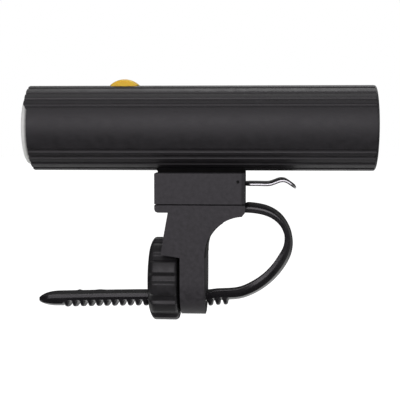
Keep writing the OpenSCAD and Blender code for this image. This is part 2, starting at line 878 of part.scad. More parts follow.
// Thread ridge inside the knob: a right-hand helix of four-sided section
module thread_ridge(x0, turns, base_r, tip_r, base_w, tip_w) {
    steps = 24;
    count = ceil(turns * steps);
    points = [for (i = [0 : count])
        let (a = 360 * i / steps, x = x0 + tooth_pitch * i / steps)
            each [
                [x - base_w / 2, base_r * cos(a), base_r * sin(a)],
                [x + base_w / 2, base_r * cos(a), base_r * sin(a)],
                [x + tip_w / 2, tip_r * cos(a), tip_r * sin(a)],
                [x - tip_w / 2, tip_r * cos(a), tip_r * sin(a)]
            ]];
    sides = [for (i = [0 : count - 1], k = [0 : 3])
        let (p = 4 * i + k, q = 4 * i + (k + 1) % 4)
            each [[p, q, p + 4], [q, q + 4, p + 4]]];
    last = 4 * count;
    ends = [[2, 1, 0], [3, 2, 0], [last, last + 1, last + 2], [last, last + 2, last + 3]];
    polyhedron(points = points, faces = concat(sides, ends), convexity = 6);
}

module clamp_knob() {
    flute_w = 3.6;
    first_flute = 171.6;
    cut_r = (flute_w * flute_w / 4 + flute_depth * flute_depth) / (2 * flute_depth);
    bore_x1 = leg_x0 - spigot_len - 0.3;
    ridge_low = tooth_last - tooth_pitch * (ceil((tooth_last - bore_x1) / tooth_pitch) + 0.5);
    ridge_x0 = ridge_low - tooth_pitch * 1.75;
    base_in = 0.35;
    color([0.13, 0.13, 0.14])
        union() {
            difference() {
                turned([
                    [0, knob_x0 - knob_dome],
                    [knob_r * 0.55, knob_x0 - knob_dome * 0.9],
                    [knob_r * 0.8, knob_x0 - knob_dome * 0.45],
                    [knob_r - 1, knob_x0 + 0.2],
                    [knob_r - 0.3, knob_x0 + 0.75],
                    [knob_r, knob_x0 + 1.4],
                    [knob_r, knob_x1 - 0.6],
                    [knob_r - 0.6, knob_x1],
                    [0, knob_x1]
                ], knob_z);
                for (i = [0 : knob_flutes - 1])
                    translate([0, 0, knob_z])
                        rotate([first_flute + 360 * i / knob_flutes, 0, 0])
                            translate([0, knob_r + cut_r - flute_depth, 0])
                                xbar(knob_x0 - knob_dome - over, knob_x1 + over, cut_r, 0);
                xbar(knob_x0 - knob_dome - over, knob_x1, thread_r, knob_z);
                xbar(bore_x1, knob_x1 + over, spigot_r + spigot_clear, knob_z);
            }
            translate([0, 0, knob_z])
                thread_ridge(ridge_x0, 2, thread_r + base_in, ridge_r,
                    tooth_pitch - tooth_tip - 1.3 * thread_clear, tooth_pitch - tooth_root - 1.3 * thread_clear);
        }
}

// Section of the strap: flat on one side, round on the other, seen with the flat at u = 0
module strap_section() {
    intersection() {
        translate([-strap_flat, 0])
            circle(r = strap_root_r);
        translate([0, -strap_half])
            square([strap_root_r, strap_w]);
    }
}

// A sweep of the strap's section along points of X, Z and heading
module strap_sweep(path) {
    edge = sqrt(strap_root_r * strap_root_r - strap_half * strap_half) - strap_flat;
    steps = 12;
    section = concat(
        [[0, -strap_half], [edge, -strap_half]],
        [for (i = [1 : steps - 1])
            let (y = strap_half * (2 * i / steps - 1))
                [sqrt(strap_root_r * strap_root_r - y * y) - strap_flat, y]],
        [[edge, strap_half], [0, strap_half]]
    );
    n = len(section);
    m = len(path);
    points = [for (p = path, q = section)
        [p[0] + q[0] * sin(p[2]), q[1], p[1] - q[0] * cos(p[2])]];
    sides = [for (i = [0 : m - 2], k = [0 : n - 1])
        let (a = n * i + k, b = n * i + (k + 1) % n)
            each [[a, a + n, b], [b, a + n, b + n]]];
    first = [for (k = [1 : n - 2]) [0, k, k + 1]];
    last = [for (k = [1 : n - 2]) [n * (m - 1), n * (m - 1) + k + 1, n * (m - 1) + k]];
    polyhedron(points = points, faces = concat(sides, first, last), convexity = 6);
}

// Points along one circular stretch of the loop
function sweep_points(x, z, r, from, sweep, steps, skip) =
    [for (i = [skip : steps])
        let (a = from + sweep * i / steps)
            [x + r * (sin(a) - sin(from)), z + r * (cos(from) - cos(a)), a]];

// One slanted tooth of the strap, cut from a ring about the knob's axis
module strap_tooth(x, low, high) {
    intersection() {
        translate([x, 0, 0])
            rotate([0, 0, -tooth_slant])
                turned([
                    [0, -tooth_root / 2],
                    [strap_root_r, -tooth_root / 2],
                    [crest_r, -tooth_tip / 2],
                    [crest_r, tooth_tip / 2],
                    [strap_root_r, tooth_root / 2],
                    [0, tooth_root / 2]
                ], knob_z);
        block(low, high, -strap_half, strap_half, knob_z - knob_r, flat_z - strap_t * 0.1);
    }
}

module strap_loop() {
    x1 = loop_x0 + run_1;
    z1 = flat_z + rise_1;
    x2 = x1 + run_2;
    z2 = z1 + rise_2;
    color([0.11, 0.11, 0.12])
        union() {
            strap_sweep(concat(
                sweep_points(loop_x0, flat_z, loop_r1, 0, sweep_1, 10, 0),
                sweep_points(x1, z1, loop_r2, sweep_1, sweep_2, 14, 1),
                sweep_points(x2, z2, loop_r3, sweep_1 + sweep_2, sweep_3, 6, 1),
                [[bead_x, anchor_z, 180]]
            ));
            ybar(-bead_half, bead_half, bead_r, bead_x, bead_z);
            strap_tooth(tooth_last + tooth_pitch, loop_x0, loop_x0 + 2 * tooth_pitch);
        }
}

module strap_tail() {
    color([0.11, 0.11, 0.12])
        intersection() {
            union() {
                translate([tip_x, 0, flat_z])
                    rotate([90, 0, 90])
                        linear_extrude(height = loop_x0 - tip_x)
                            rotate([0, 0, -90])
                                strap_section();
                for (i = [0 : tooth_count - 1])
                    strap_tooth(tooth_first + i * tooth_pitch, tip_x, loop_x0);
                intersection() {
                    turned([
                        [0, tip_x],
                        [strap_root_r - 0.5, tip_x],
                        [crest_r - 0.95, tip_x + 1.8],
                        [crest_r - 0.5, tip_x + 4.5],
                        [crest_r - 0.45, tip_x + tip_len - 1],
                        [0, tip_x + tip_len - 1]
                    ], knob_z);
                    block(tip_x - over, tip_x + tip_len, -strap_half, strap_half, knob_z - knob_r, flat_z);
                }
            }
            union() {
                translate([tip_x + strap_half, 0, knob_z - knob_r])
                    cylinder(h = knob_r, r = strap_half + eps);
                block(tip_x + strap_half, loop_x0 + over, -strap_half - over, strap_half + over,
                    knob_z - knob_r, knob_z);
            }
            profile([
                [tip_x, flat_z - 1.45],
                [tip_x + 0.8, flat_z - 0.95],
                [tip_x + 2.2, flat_z - 0.4],
                [tip_x + 4.6, flat_z + eps],
                [loop_x0 + over, flat_z + eps],
                [loop_x0 + over, knob_z - knob_r],
                [tip_x, knob_z - knob_r]
            ], -strap_half - over, strap_half + over);
        }
}

body_tube();
lens();
lens_gasket();
reflector();
led_board();
led_emitter();
heat_sink();
inner_frame();
control_board();
push_switch();
power_button();
battery_cell();
battery_tabs();
lead_wires();
charge_board();
charge_port();
end_cap();
end_cap_seal();
port_cover();
mount_rail();
rail_screws();
socket_block();
release_spring();
keeper_pin();
bracket_body();
bracket_screws();
saddle_pad();
clamp_knob();
strap_loop();
strap_tail();
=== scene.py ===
"""Looks of a handlebar bike headlight: a black anodised tube lamp on a slide-off
socket, with a saddle bracket, a ring-nut knob and a toothed strap."""

import math

import bmesh
import bpy
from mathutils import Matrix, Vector


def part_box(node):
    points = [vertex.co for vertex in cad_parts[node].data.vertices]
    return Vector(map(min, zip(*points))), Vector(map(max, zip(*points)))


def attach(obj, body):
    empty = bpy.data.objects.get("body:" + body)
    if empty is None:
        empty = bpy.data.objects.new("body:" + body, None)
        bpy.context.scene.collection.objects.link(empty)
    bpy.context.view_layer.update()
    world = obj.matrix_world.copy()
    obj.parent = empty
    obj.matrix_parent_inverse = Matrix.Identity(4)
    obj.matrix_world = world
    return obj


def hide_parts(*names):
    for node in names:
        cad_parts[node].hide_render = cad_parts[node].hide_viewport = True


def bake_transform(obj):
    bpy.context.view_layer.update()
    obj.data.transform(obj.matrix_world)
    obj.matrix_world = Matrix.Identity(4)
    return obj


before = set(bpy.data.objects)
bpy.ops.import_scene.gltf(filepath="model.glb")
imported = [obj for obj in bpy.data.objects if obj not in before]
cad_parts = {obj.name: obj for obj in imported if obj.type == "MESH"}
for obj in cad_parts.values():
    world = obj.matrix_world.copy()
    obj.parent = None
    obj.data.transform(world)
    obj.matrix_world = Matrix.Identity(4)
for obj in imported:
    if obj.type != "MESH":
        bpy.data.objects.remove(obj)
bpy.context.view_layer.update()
scene = bpy.context.scene
scene.view_settings.view_transform = "Standard"


# Studio
# The lamp hangs before a white paper sweep, as in a catalogue picture. A wide soft light
# stands in front, a little above, a smaller one behind and above edges the tops, and a
# pale card stands on the right. The room behind the camera is dark.
def put_in_scene(name, data):
    """An object for a mesh, a light or the camera, linked into the scene."""
    placed = bpy.data.objects.new(name, data)
    scene.collection.objects.link(placed)
    return placed


def facing(direction, axis):
    """The turn that points an axis of a camera or a light along a direction."""
    return direction.to_track_quat(axis, "Y").to_euler()


camera_data = bpy.data.cameras.new("catalogue_camera")
camera_data.sensor_width = 36.0
camera_data.lens = 87.4
camera_data.clip_start = 0.01
camera = put_in_scene("catalogue_camera", camera_data)
camera.location = (0.00437, -0.2986, 0.0382)
aim = Vector((-0.0139, 0.0, 0.0160)) - camera.location
camera.rotation_euler = facing(aim, "-Z")
scene.camera = camera

lamp_middle = Vector((-0.014, 0.0, 0.02))


def soft_light(name, width, height, energy, side, distance):
    """A rectangular studio light that looks at the lamp from a side."""
    data = bpy.data.lights.new(name, "AREA")
    data.shape = "RECTANGLE"
    data.size = width
    data.size_y = height
    data.energy = energy
    light = put_in_scene(name, data)
    side = Vector(side).normalized()
    light.location = lamp_middle + side * distance
    light.rotation_euler = facing(side, "Z")
    return light


softbox = soft_light("softbox", 0.55, 0.30, 1.95, (-0.06, -0.94, 0.33), 0.55)
softbox.data.color = (1.0, 0.955, 1.01)
ceiling_data = bpy.data.lights.new("ceiling_bounce", "SUN")
ceiling_data.energy = 0.5
ceiling_data.angle = math.radians(70)
ceiling = put_in_scene("ceiling_bounce", ceiling_data)
ceiling.rotation_euler = facing(Vector((-0.1, 0.05, 1.0)), "Z")
back_card = soft_light("back_card", 0.5, 0.26, 1.15, (0.12, 0.62, 0.78), 0.6)
back_card.visible_camera = False

paper_size = 6.0
paper_z = -0.16
square = ((-1, -1), (1, -1), (1, 1), (-1, 1))
paper_mesh = bpy.data.meshes.new("paper_sweep")
paper_mesh.from_pydata(
    [(sx * paper_size, sy * paper_size, paper_z) for sx, sy in square], [], [(0, 1, 2, 3)]
)
paper = put_in_scene("paper_sweep", paper_mesh)
paper.visible_glossy = False


def feed(tree, socket, value):
    """Links an output to a socket, or sets a plain value on it."""
    if isinstance(value, bpy.types.NodeSocket):
        tree.links.new(value, socket)
    else:
        socket.default_value = value


def add_node(tree, kind, inputs=None, **settings):
    """A node with its settings made and its inputs fed."""
    node = tree.nodes.new(kind)
    for name, value in settings.items():
        setattr(node, name, value)
    for name, value in (inputs or {}).items():
        feed(tree, node.inputs[name], value)
    return node


def ramp(tree, value, start, end, low=0.0, high=1.0, style="SMOOTHSTEP"):
    """Goes from low to high while a value goes from start to end."""
    limits = {"From Min": start, "From Max": end, "To Min": low, "To Max": high}
    inputs = {"Value": value, **limits}
    return add_node(tree, "ShaderNodeMapRange", inputs, interpolation_type=style).outputs["Result"]


def figure(tree, operation, *values):
    """The result of one sum on outputs and plain values."""
    inputs = dict(enumerate(values))
    return add_node(tree, "ShaderNodeMath", inputs, operation=operation).outputs[0]


def blended(tree, share, one, two, kind="FLOAT"):
    """A mix of two values or, with kind RGBA, two colours."""
    inputs = {"Factor": share, "A": one, "B": two}
    return add_node(tree, "ShaderNodeMix", inputs, data_type=kind).outputs["Result"]


def set_shader(material, values):
    """Feeds a material's shader."""
    tree = material.node_tree
    for name, value in values.items():
        feed(tree, tree.nodes["Principled BSDF"].inputs[name], value)


def new_finish(name, values):
    """A material with the values that are the same all over it."""
    material = bpy.data.materials.new(name)
    material.use_nodes = True
    set_shader(material, values)
    return material


paper_glow = 0.92
paper_white = new_finish("paper_white", {
    "Base Color": (0.86, 0.86, 0.86, 1), "Roughness": 1.0, "Specular IOR Level": 0.0,
    "Emission Color": (1, 1, 1, 1),
})
tree = paper_white.node_tree
rays = add_node(tree, "ShaderNodeLightPath").outputs
glow = figure(tree, "MULTIPLY", rays["Is Camera Ray"], paper_glow)
set_shader(paper_white, {"Emission Strength": glow})
paper_mesh.materials.append(paper_white)

room = bpy.data.worlds.new("white_room")
scene.world = room
room.use_nodes = True
tree = room.node_tree
dark_side = 0.03
even_fill = 0.08
direction = add_node(tree, "ShaderNodeTexCoord").outputs["Generated"]
axes = add_node(tree, "ShaderNodeSeparateXYZ", {0: direction}).outputs
paper_below = ramp(tree, axes["Z"], -0.6, -0.1, 1.1, dark_side)
paper_rise = ramp(tree, axes["Z"], 0.3, 0.6, 0.0, 0.3)
paper_sheet = figure(tree, "ADD", paper_rise, paper_below)
backdrop = ramp(tree, axes["Y"], 0.0, 0.3, dark_side, paper_sheet)
side_card = ramp(tree, axes["X"], 0.3, 0.65, 0.0, 0.3)
with_card = figure(tree, "MAXIMUM", side_card, backdrop)
rays = add_node(tree, "ShaderNodeLightPath").outputs
lit = blended(tree, rays["Is Glossy Ray"], even_fill, with_card)
through = figure(tree, "MAXIMUM", rays["Is Camera Ray"], rays["Is Transmission Ray"])
sky = tree.nodes["Background"].inputs
sky["Color"].default_value = (1, 1, 1, 1)
feed(tree, sky["Strength"], blended(tree, through, lit, 1.0))


# Lamp tube
# An extruded aluminium tube with long cooling grooves above and below, a hood cut
# over the lens, and a black anodised skin with the fine grain of bead blasting.
def softened_copy(node, piece, edge, *finishes):
    """A merged copy of a solid, with its corners rounded off by edge metres."""
    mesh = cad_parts[node].data.copy()
    mesh.name = piece
    same_point = 2e-6
    flat_enough = math.radians(0.5)
    work = bmesh.new()
    work.from_mesh(mesh)
    bmesh.ops.remove_doubles(work, verts=work.verts, dist=same_point)
    bmesh.ops.dissolve_limit(work, angle_limit=flat_enough, verts=work.verts, edges=work.edges)
    for face in work.faces:
        face.smooth = True
    work.to_mesh(mesh)
    work.free()
    if "custom_normal" in mesh.attributes:
        mesh.attributes.remove(mesh.attributes["custom_normal"])
    mesh.materials.clear()
    for finish in finishes:
        mesh.materials.append(finish)
    copy = put_in_scene(piece, mesh)
    rounding = copy.modifiers.new("rounded_corners", "BEVEL")
    rounding.limit_method = "ANGLE"
    rounding.angle_limit = math.radians(28)
    rounding.width = edge
    rounding.segments = 2
    rounding.use_clamp_overlap = True
    shading = copy.modifiers.new("even_shading", "WEIGHTED_NORMAL")
    shading.keep_sharp = False
    return copy


def stand_for(piece, body, slot, *solids):
    """Puts a piece on its body and hides the solids it stands for; its slot is not used."""
    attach(piece, body)
    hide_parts(*solids)


def new_tree(name, inputs, outputs, shapes=()):
    """A tree with named number sockets, of which those in shapes carry geometry."""
    tree = bpy.data.node_groups.new(name, "GeometryNodeTree" if shapes else "ShaderNodeTree")
    for side, names in (("INPUT", inputs), ("OUTPUT", outputs)):
        for socket in names:
            carries = "NodeSocketGeometry" if socket in shapes else "NodeSocketFloat"
            tree.interface.new_socket(socket, in_out=side, socket_type=carries)
    return tree, add_node(tree, "NodeGroupInput").outputs


def blasted_grain_tree():
    """Fine bumps and the slightly uneven tone of a blasted or spark-eroded skin."""
    tree, sizes = new_tree("blasted_grain", ("Grain", "Mottle"), ("Height", "Tone"))
    place = add_node(tree, "ShaderNodeTexCoord").outputs["Object"]
    fine = {"Vector": place, "Scale": sizes["Grain"], "Detail": 2.0}
    patchy = {"Vector": place, "Scale": sizes["Mottle"], "Detail": 3.0}
    add_node(tree, "NodeGroupOutput", {
        "Height": add_node(tree, "ShaderNodeTexNoise", fine).outputs["Fac"],
        "Tone": add_node(tree, "ShaderNodeTexNoise", patchy).outputs["Fac"],
    })
    return tree


def lint_tree():
    """Rare pale specks of lint that sit on a dark skin."""
    tree, sizes = new_tree("lint_specks", ("Spread",), ("Specks",))
    place = add_node(tree, "ShaderNodeTexCoord").outputs["Object"]
    cells = add_node(tree, "ShaderNodeTexVoronoi", {"Vector": place, "Scale": sizes["Spread"]})
    speck_size = 0.035
    specks = figure(tree, "LESS_THAN", cells.outputs["Distance"], speck_size)
    add_node(tree, "NodeGroupOutput", {"Specks": specks})
    return tree


blasted_grain = blasted_grain_tree()
lint_specks = lint_tree()
lint_grey = (0.30, 0.30, 0.30, 1)
tone_span = (0.3, 0.7)


def grained_finish(name, dark, pale, grain, mottle, bump, rough, specular=0.5, lint=0.0):
    """A grained skin: colour mottled between dark and pale, bumps and uneven gloss."""
    material = new_finish(name, {"Specular IOR Level": specular})
    tree = material.node_tree
    sizes = {"Grain": grain, "Mottle": mottle}
    skin = add_node(tree, "ShaderNodeGroup", sizes, node_tree=blasted_grain).outputs
    share = ramp(tree, skin["Tone"], *tone_span, style="LINEAR")
    colour = blended(tree, share, (*dark, 1), (*pale, 1), "RGBA")
    if lint:
        dust = add_node(tree, "ShaderNodeGroup", {"Spread": lint}, node_tree=lint_specks)
        colour = blended(tree, dust.outputs["Specks"], colour, lint_grey, "RGBA")
    relief = {"Strength": 1.0, "Distance": bump, "Height": skin["Height"]}
    set_shader(material, {
        "Base Color": colour,
        "Roughness": ramp(tree, skin["Tone"], *tone_span, *rough, "LINEAR"),
        "Normal": add_node(tree, "ShaderNodeBump", relief).outputs["Normal"],
    })
    return material


black_anodise = grained_finish(
    "black_anodise", (0.015, 0.0142, 0.0156), (0.021, 0.0198, 0.0218),
    grain=5200, mottle=420, bump=0.000012, rough=(0.54, 0.62), lint=95,
)
# Paler than the skin: a painted highlight on the upper grooves, where their edges catch the light.
dusty_groove = grained_finish(
    "dusty_groove", (0.022, 0.0212, 0.0218), (0.03, 0.029, 0.0297),
    grain=5200, mottle=420, bump=0.000012, rough=(0.46, 0.56),
)
tube_edge = 0.00009
lamp_tube = softened_copy("body_tube", "lamp_tube", tube_edge, black_anodise, dusty_groove)
tube_axis = 0.03815
tube_r = 0.013
groove_depth = 0.0007
skin_margin = 0.00006
# Faces inside the grooves on the tube's upper part take this paler colour, a painted highlight.
upper_grooves = tube_axis + tube_r * 0.66
for face in lamp_tube.data.polygons:
    off_axis = math.hypot(face.center.y, face.center.z - tube_axis)
    below_skin = tube_r - groove_depth < off_axis < tube_r - skin_margin
    if below_skin and face.center.z > upper_grooves and abs(face.normal.x) < 0.3:
        face.material_index = 1
stand_for(lamp_tube, "lamp", "anodised", "body_tube")


# Lens and its sealing ring
# A turned polycarbonate lens with a low domed face and a satin rim. It stands out of
# the tube below the hood, and its flange is held behind the tube's lip by the ring.
def skinned(name, rows, round_rows=True, joined=False, capped=False, smooth_strips=None):
    """A piece skinned over rows of points, where a row of one point is a pole."""
    mesh = bpy.data.meshes.new(name)
    work = bmesh.new()
    rows = [[work.verts.new(point) for point in row] for row in rows]
    wide = max(len(row) for row in rows)
    strips = wide if round_rows else wide - 1
    smooth = strips if smooth_strips is None else smooth_strips
    pairs = list(zip(rows, rows[1:]))
    if joined:
        pairs.append((rows[-1], rows[0]))
    for one, two in pairs:
        for k in range(strips):
            m = (k + 1) % wide
            corners = [one[k % len(one)], one[m % len(one)], two[m % len(two)], two[k % len(two)]]
            work.faces.new(list(dict.fromkeys(corners))).smooth = k < smooth
    if capped:
        work.faces.new(rows[0])
        work.faces.new(rows[-1])
    bmesh.ops.recalc_face_normals(work, faces=work.faces)
    work.to_mesh(mesh)
    work.free()
    return put_in_scene(name, mesh)


def turned_rows(outline, segments):
    """Rings of (along, across, up) for (radius, along) points; no radius gives a pole."""
    turns = [2 * math.pi * k / segments for k in range(segments)]
    return [
        [(along, radius * math.cos(a), radius * math.sin(a)) for a in (turns if radius else [0.0])]
        for radius, along in outline
    ]


def turned_piece(name, outline, segments, axis_z, closed=False):
    """A lathe-turned piece about the line along X at height axis_z."""
    rows = [[(x, y, axis_z + z) for x, y, z in row] for row in turned_rows(outline, segments)]
    return skinned(name, rows, joined=closed)


lens_low, lens_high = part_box("lens")
lens_front = lens_low.x
lens_back = lens_high.x
lens_flange_r = (lens_high.z - lens_low.z) / 2
lens_face_r = 0.0111
flange_t = 0.0014
flange_front = lens_back - flange_t
dome_rise = 0.0003
dome_steps = 12
lens_edge = 0.0002
dome = []
for step in range(dome_steps + 1):
    share = step / dome_steps
    dome.append((lens_face_r * 0.965 * share, lens_front + dome_rise * share * share))
lens_outline = dome + [
    (lens_face_r * 0.985, lens_front + dome_rise + 0.00012),
    (lens_face_r, lens_front + dome_rise + 0.00042),
    (lens_face_r, flange_front - lens_edge),
    (lens_face_r, flange_front),
    (lens_flange_r - lens_edge, flange_front),
    (lens_flange_r, flange_front + lens_edge),
    (lens_flange_r, lens_back - lens_edge),
    (lens_flange_r - lens_edge, lens_back),
    (lens_face_r * 0.7, lens_back),
    (0.0, lens_back),
]
head_lens = turned_piece("head_lens", lens_outline, 144, tube_axis)

lens_index = 1.58
clear_lens = new_finish("clear_lens", {
    "Base Color": (0.93, 0.95, 0.94, 1), "Roughness": 0.06, "Specular IOR Level": 0.5,
    "Transmission Weight": 0.92, "IOR": lens_index,
})
frosted_rim = grained_finish(
    "frosted_rim", (0.82, 0.84, 0.795), (0.88, 0.9, 0.855),
    grain=3000, mottle=600, bump=0.00001, rough=(0.38, 0.5),
)
tree = frosted_rim.node_tree
# Behind its front the rim fades from the pale frosted colour to dark grey towards the tube:
# painted shade where the hood and the tube's lip shade the rim.
rim_painted_shade = (0.09, 0.09, 0.085, 1)
rim_pale = tree.nodes["Principled BSDF"].inputs["Base Color"].links[0].from_socket
rim_place = add_node(tree, "ShaderNodeTexCoord").outputs["Object"]
rim_axes = add_node(tree, "ShaderNodeSeparateXYZ", {0: rim_place}).outputs
pale_depth, shade_depth = 0.0009, 0.002
rim_shade_share = ramp(tree, rim_axes["X"], lens_front + pale_depth, lens_front + shade_depth)
rim_tone = blended(tree, rim_shade_share, rim_pale, rim_painted_shade, "RGBA")
set_shader(frosted_rim, {"Base Color": rim_tone, "Transmission Weight": 0.1, "IOR": lens_index})
head_lens.data.materials.append(clear_lens)
head_lens.data.materials.append(frosted_rim)
clear_r = lens_face_r * 0.93
for face in head_lens.data.polygons:
    off_axis = math.hypot(face.center.y, face.center.z - tube_axis)
    face.material_index = 0 if off_axis < clear_r else 1
stand_for(head_lens, "lamp", "lens", "lens")


def dress(node, material):
    """Gives a solid that keeps its own shape its finish."""
    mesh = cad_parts[node].data
    mesh.materials.clear()
    mesh.materials.append(material)


seal_rubber = grained_finish(
    "seal_rubber", (0.012, 0.012, 0.012), (0.02, 0.02, 0.02),
    grain=2500, mottle=300, bump=0.000015, rough=(0.6, 0.8), specular=0.3,
)
dress("lens_gasket", seal_rubber)


# Reflector, light source and heat sink
# A vacuum-metallised plastic cup, a light source of yellow phosphor on its white
# aluminium-backed board, and a turned aluminium plate that passes its heat to the tube.
def scratches_tree():
    """Long fine scratches along X, as a brushed or rolled metal has."""
    tree, sizes = new_tree("drawn_scratches", ("Fineness",), ("Scratch",))
    place = add_node(tree, "ShaderNodeTexCoord").outputs["Object"]
    drawn_out = {"Vector": place, "Scale": (0.03, 1.0, 1.0)}
    stretch = add_node(tree, "ShaderNodeMapping", drawn_out).outputs["Vector"]
    lines = {"Vector": stretch, "Scale": sizes["Fineness"], "Detail": 3.0}
    scratch = add_node(tree, "ShaderNodeTexNoise", lines).outputs["Fac"]
    add_node(tree, "NodeGroupOutput", {"Scratch": scratch})
    return tree


drawn_scratches = scratches_tree()


def metal_finish(name, dark, pale, fineness, rough):
    """A drawn metal skin: scratches in the colour, the gloss and the relief."""
    material = new_finish(name, {"Metallic": 1.0, "Specular IOR Level": 0.5})
    tree = material.node_tree
    drawn = add_node(tree, "ShaderNodeGroup", {"Fineness": fineness}, node_tree=drawn_scratches)
    scratch = drawn.outputs["Scratch"]
    relief = {"Strength": 0.6, "Distance": 0.00001, "Height": scratch}
    set_shader(material, {
        "Base Color": blended(tree, scratch, (*dark, 1), (*pale, 1), "RGBA"),
        "Roughness": ramp(tree, scratch, 0.0, 1.0, *rough, "LINEAR"),
        "Normal": add_node(tree, "ShaderNodeBump", relief).outputs["Normal"],
    })
    return material


dress("reflector", metal_finish(
    "metallised_cup", (0.84, 0.85, 0.86), (0.9, 0.91, 0.92), 900, (0.05, 0.12),
))
dress("heat_sink", metal_finish(
    "turned_aluminium", (0.62, 0.62, 0.64), (0.74, 0.74, 0.76), 2400, (0.3, 0.45),
))
dress("led_board", grained_finish(
    "board_white", (0.78, 0.78, 0.74), (0.84, 0.84, 0.8),
    grain=3000, mottle=500, bump=0.000005, rough=(0.45, 0.55), specular=0.4,
))
dress("led_emitter", grained_finish(
    "phosphor", (0.82, 0.6, 0.08), (0.9, 0.72, 0.14),
    grain=9000, mottle=1500, bump=0.000006, rough=(0.22, 0.35),
))


# Parts inside the tube
# A moulded cradle carries the wrapped cell, the control board with its push switch,
# and the charging board with its port; spot-welded tabs and two leads join them.
dress("inner_frame", grained_finish(
    "inner_plastic", (0.028, 0.028, 0.03), (0.04, 0.04, 0.042),
    grain=3500, mottle=350, bump=0.000012, rough=(0.5, 0.62), specular=0.4,
))
dress("battery_cell", grained_finish(
    "cell_sleeve", (0.06, 0.2, 0.36), (0.08, 0.25, 0.42),
    grain=1800, mottle=160, bump=0.000008, rough=(0.28, 0.4),
))
board_green = grained_finish(
    "board_green", (0.02, 0.13, 0.06), (0.03, 0.19, 0.09),
    grain=2600, mottle=900, bump=0.000008, rough=(0.3, 0.45),
)
for node in ("control_board", "charge_board"):
    dress(node, board_green)
plated_steel = metal_finish(
    "plated_steel", (0.55, 0.55, 0.54), (0.68, 0.68, 0.66), 3000, (0.25, 0.4),
)
for node in ("push_switch", "battery_tabs", "charge_port"):
    dress(node, plated_steel)
dress("lead_wires", grained_finish(
    "lead_sleeve", (0.3, 0.02, 0.015), (0.4, 0.03, 0.02),
    grain=4000, mottle=600, bump=0.000006, rough=(0.35, 0.48),
))


# Button
# A domed amber button of translucent silicone that comes up through the tube's top
# and presses the switch below; its flange keeps it from falling out.
button_amber = grained_finish(
    "button_amber", (0.92, 0.54, 0.022), (0.98, 0.62, 0.034),
    grain=3200, mottle=380, bump=0.000008, rough=(0.4, 0.5), specular=0.3,
)
set_shader(button_amber, {
    "Subsurface Weight": 0.25, "Subsurface Radius": (1.0, 0.5, 0.15), "Subsurface Scale": 0.0008,
})
button_edge = 0.0004
amber_button = softened_copy("power_button", "amber_button", button_edge, button_amber)
stand_for(amber_button, "power_button", "amber_plastic", "power_button")


# End cap, its seal and the port cover
# A moulded cap closes the tube's rear with a round seal, and a rubber cover on two
# trunnions lies over the charging port in a shallow recess.
cap_plastic = grained_finish(
    "cap_plastic", (0.014, 0.0135, 0.0145), (0.021, 0.02, 0.0215),
    grain=3800, mottle=420, bump=0.000014, rough=(0.45, 0.58), specular=0.45, lint=80,
)
cap_edge = 0.00015
rear_cap = softened_copy("end_cap", "rear_cap", cap_edge, cap_plastic)
stand_for(rear_cap, "lamp", "dark_plastic", "end_cap")
dress("end_cap_seal", seal_rubber)
cover_rubber = grained_finish(
    "cover_rubber", (0.014, 0.014, 0.014), (0.024, 0.024, 0.024),
    grain=2600, mottle=260, bump=0.00002, rough=(0.55, 0.7), specular=0.35,
)
cover_edge = 0.0002
port_flap = softened_copy("port_cover", "port_flap", cover_edge, cover_rubber)
stand_for(port_flap, "port_cover", "black_rubber", "port_cover")


# Rail and its screws
# A moulded rail with a wide head hangs under the tube on two steel screws and slides
# in the socket. Above the socket its foot reaches forward to the socket's front.
# Near black and almost without gloss: the rail's own black plastic, made darker still as painted
# shade for the shadow under the tube.
rail_plastic = grained_finish(
    "rail_plastic", (0.003, 0.003, 0.003), (0.006, 0.006, 0.006),
    grain=3800, mottle=420, bump=0.000012, rough=(0.8, 0.95), specular=0.06,
)
rail_edge = 0.00015
foot_reach = 0.0009
front_margin = 0.0003
slide_rail = softened_copy("mount_rail", "slide_rail", rail_edge, rail_plastic)
rail_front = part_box("mount_rail")[0].x
foot_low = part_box("socket_block")[1].z
for vertex in slide_rail.data.vertices:
    if vertex.co.x < rail_front + front_margin and vertex.co.z > foot_low:
        vertex.co.x -= foot_reach
stand_for(slide_rail, "lamp", "dark_plastic", "mount_rail")
screw_steel = metal_finish(
    "screw_steel", (0.42, 0.42, 0.43), (0.56, 0.56, 0.57), 3200, (0.25, 0.4),
)


def plain_mesh(piece):
    """Turns a piece's modifiers into its plain mesh."""
    graph = bpy.context.evaluated_depsgraph_get()
    made = bpy.data.meshes.new_from_object(piece.evaluated_get(graph))
    made.name = piece.name
    piece.modifiers.clear()
    piece.data = made


def screw_pattern(head_r, head_h, shank_r, length):
    """A pan-head screw that stands on its head at the origin, with a cross recess below."""
    rim = head_h * 0.3
    outline = [
        (0.0, 0.0), (head_r * 0.62, 0.0), (head_r * 0.9, rim * 0.4), (head_r, rim),
        (head_r, head_h), (shank_r, head_h), (shank_r, length - shank_r * 0.5),
        (shank_r * 0.6, length), (0.0, length),
    ]
    sides = 24
    rows = [[(y, z, x) for x, y, z in row] for row in turned_rows(outline, sides)]
    screw = skinned("screw_pattern", rows, smooth_strips=0)
    arm, wide, deep = head_r * 0.62, head_r * 0.14, head_h * 0.55
    below = -head_h * 0.2
    tip_share = 0.55
    corners = []
    faces = []
    for along, across in ((arm, wide), (wide, arm)):
        base = len(corners)
        for z, shrink in ((below, 1.0), (deep, tip_share)):
            corners += [(sx * along * shrink, sy * across, z) for sx, sy in square]
        faces += [tuple(base + i for i in f) for f in (
            (3, 2, 1, 0), (4, 5, 6, 7), (0, 1, 5, 4), (1, 2, 6, 5), (2, 3, 7, 6), (3, 0, 4, 7))]
    recess = bpy.data.meshes.new("cross_recess")
    recess.from_pydata(corners, [], faces)
    cutter = put_in_scene("cross_recess", recess)
    driven = screw.modifiers.new("recess", "BOOLEAN")
    driven.object = cutter
    driven.operation = "DIFFERENCE"
    driven.use_self = True
    plain_mesh(screw)
    bpy.data.objects.remove(cutter)
    return screw


